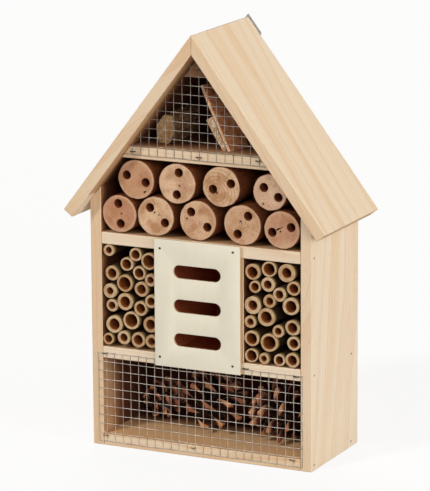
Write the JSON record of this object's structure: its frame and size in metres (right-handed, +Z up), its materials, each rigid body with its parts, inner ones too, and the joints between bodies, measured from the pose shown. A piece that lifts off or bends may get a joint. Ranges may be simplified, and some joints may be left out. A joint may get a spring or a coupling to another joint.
{
  "type": "insect hotel",
  "caption": "Pitched-roof wooden insect hotel with drilled logs, hollow canes, a slotted front panel, and pine cones behind wire mesh.",
  "frame": {"origin": "bottom of the object, under the centre of its bounding box, on the surface it stands on", "axes": "+X to the object's right as seen from the front, +Y to the back, towards the wall it may hang on, +Z up"},
  "size_m": [0.288, 0.1342, 0.4365],
  "materials": {
    "pine": "planed, unfinished",
    "plywood": "sanded, unfinished",
    "cream_panel": "painted cream, satin",
    "zinc_wire": "galvanised",
    "zinc_steel": "zinc plated",
    "log": "sawn end grain with bark",
    "cane": "cut cane, natural skin",
    "pine_cone": "dry, open scales",
    "bark": "rough",
    "split_wood": "split, rough"
  },
  "bodies": {
    "root": {"attic_mesh": "zinc_wire", "attic_shelf": "pine", "back_panel": "plywood", "bark_slab": "bark", "bottom_board": "pine", "canes_left_1": "cane", "canes_left_10": "cane", "canes_left_11": "cane", "canes_left_2": "cane", "canes_left_3": "cane", "canes_left_4": "cane", "canes_left_5": "cane", "canes_left_6": "cane", "canes_left_7": "cane", "canes_left_8": "cane", "canes_left_9": "cane", "canes_right_1": "cane", "canes_right_10": "cane", "canes_right_11": "cane", "canes_right_2": "cane", "canes_right_3": "cane", "canes_right_4": "cane", "canes_right_5": "cane", "canes_right_6": "cane", "canes_right_7": "cane", "canes_right_8": "cane", "canes_right_9": "cane", "front_panel": "cream_panel", "hanger_plate": "zinc_steel", "hanger_screw_left": "zinc_steel", "hanger_screw_right": "zinc_steel", "left_divider": "pine", "left_wall": "pine", "log_1": "log", "log_2": "log", "log_3": "log", "log_4": "log", "log_5": "log", "log_6": "log", "log_7": "log", "log_8": "log", "log_9": "log", "lower_mesh": "zinc_wire", "lower_shelf": "pine", "panel_nail_bottom_left": "zinc_steel", "panel_nail_bottom_right": "zinc_steel", "panel_nail_top_left": "zinc_steel", "panel_nail_top_right": "zinc_steel", "pinecone_back": "pine_cone", "pinecone_left": "pine_cone", "pinecone_middle": "pine_cone", "pinecone_right": "pine_cone", "ridge_block": "pine", "right_divider": "pine", "right_wall": "pine", "roof_left": "pine", "roof_right": "pine", "split_stick": "split_wood", "upper_shelf": "pine", "wood_chunk": "split_wood"}
  },
  "joints": []
}
